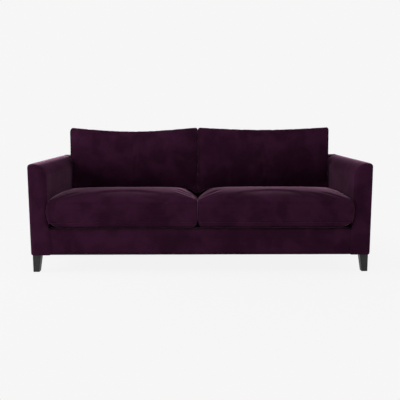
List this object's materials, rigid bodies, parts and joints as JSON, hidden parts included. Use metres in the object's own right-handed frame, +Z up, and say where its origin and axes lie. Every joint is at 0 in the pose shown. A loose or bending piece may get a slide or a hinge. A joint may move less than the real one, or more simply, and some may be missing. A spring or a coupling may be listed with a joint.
{
  "type": "tuxedo sofa",
  "caption": "Tuxedo sofa in dark velvet, arms level with the back, loose box seat cushions and loose back cushions, on tapered black legs.",
  "frame": {"origin": "middle of the footprint, on the floor", "axes": "+X towards the right-hand arm as seen from the front, +Y towards the rear, +Z up"},
  "size_m": [2.06, 0.965, 0.864],
  "materials": {
    "velvet": "short upholstery pile, deep aubergine, with a plum sheen where it is seen at a slant",
    "lining": "matt black nonwoven lining",
    "frame_timber": "planed hardwood, unfinished",
    "hardboard": "smooth brown fibreboard",
    "spring_steel": "drawn spring wire, lightly oiled",
    "clip_steel": "zinc plated pressed steel",
    "webbing": "woven elastic webbing, black",
    "felt": "needled felt, grey",
    "foam": "open-celled upholstery foam, cream",
    "fibre": "fibre filling in a white cotton case",
    "black_wood": "hardwood stained black, satin lacquer",
    "zinc_steel": "bright zinc plate",
    "glide_plastic": "black moulded plastic",
    "zip_tape": "woven tape with moulded teeth, dyed to the velvet",
    "zip_metal": "dark nickel plate"
  },
  "bodies": {
    "sofa_frame": {"front_rail": "frame_timber", "back_rail": "frame_timber", "side_rail_left": "frame_timber", "side_rail_right": "frame_timber", "centre_rail": "frame_timber", "leg_blocks": "frame_timber", "arm_front_post_left": "frame_timber", "arm_front_post_right": "frame_timber", "arm_rear_post_left": "frame_timber", "arm_rear_post_right": "frame_timber", "arm_top_rail_left": "frame_timber", "arm_top_rail_right": "frame_timber", "back_top_rail": "frame_timber", "back_uprights": "frame_timber", "arm_inner_board_left": "hardboard", "arm_inner_board_right": "hardboard", "arm_outer_board_left": "hardboard", "arm_outer_board_right": "hardboard", "seat_springs_left": "spring_steel", "seat_springs_right": "spring_steel", "spring_clips": "clip_steel", "back_webbing": "webbing", "seat_felt": "felt", "arm_pad_left": "foam", "arm_pad_right": "foam", "front_rail_pad": "foam", "back_pad": "foam", "arm_cover_left": "velvet", "arm_cover_right": "velvet", "arm_facing_left": "velvet", "arm_facing_right": "velvet", "front_rail_cover": "velvet", "seat_deck_cover": "lining", "inside_back_cover": "velvet", "outside_back_cover": "velvet", "dust_cover": "lining", "leg_front_left": "black_wood", "leg_front_right": "black_wood", "leg_rear_left": "black_wood", "leg_rear_right": "black_wood", "leg_bolts": "zinc_steel", "leg_inserts": "zinc_steel", "leg_glides": "glide_plastic"},
    "seat_cushion_left": {"seat_cover_left": "velvet", "seat_foam_left": "foam", "seat_zip_left": "zip_tape"},
    "seat_cushion_right": {"seat_cover_right": "velvet", "seat_foam_right": "foam", "seat_zip_right": "zip_tape"},
    "back_cushion_left": {"back_cover_left": "velvet", "back_fill_left": "fibre", "back_zip_left": "zip_tape"},
    "back_cushion_right": {"back_cover_right": "velvet", "back_fill_right": "fibre", "back_zip_right": "zip_tape"},
    "seat_slider_left": {"seat_zip_slider_left": "zip_metal"},
    "seat_slider_right": {"seat_zip_slider_right": "zip_metal"},
    "back_slider_left": {"back_zip_slider_left": "zip_metal"},
    "back_slider_right": {"back_zip_slider_right": "zip_metal"}
  },
  "joints": [
    {"name": "seat_cushion_left_lift", "type": "slide", "parent": "sofa_frame", "child": "seat_cushion_left", "axis": [0, 0, 1], "range_m": [0, 0.42]},
    {"name": "seat_cushion_right_lift", "type": "slide", "parent": "sofa_frame", "child": "seat_cushion_right", "axis": [0, 0, 1], "range_m": [0, 0.42]},
    {"name": "back_cushion_left_lift", "type": "slide", "parent": "seat_cushion_left", "child": "back_cushion_left", "axis": [0, 0, 1], "range_m": [0, 0.26]},
    {"name": "back_cushion_right_lift", "type": "slide", "parent": "seat_cushion_right", "child": "back_cushion_right", "axis": [0, 0, 1], "range_m": [0, 0.26]},
    {"name": "seat_zip_left_run", "type": "slide", "parent": "seat_cushion_left", "child": "seat_slider_left", "axis": [-1, 0, 0], "range_m": [0, 0.59]},
    {"name": "back_zip_left_run", "type": "slide", "parent": "back_cushion_left", "child": "back_slider_left", "axis": [1, 0, 0], "range_m": [0, 0.59]},
    {"name": "seat_zip_right_run", "type": "slide", "parent": "seat_cushion_right", "child": "seat_slider_right", "axis": [1, 0, 0], "range_m": [0, 0.622]},
    {"name": "back_zip_right_run", "type": "slide", "parent": "back_cushion_right", "child": "back_slider_right", "axis": [-1, 0, 0], "range_m": [0, 0.622]}
  ]
}
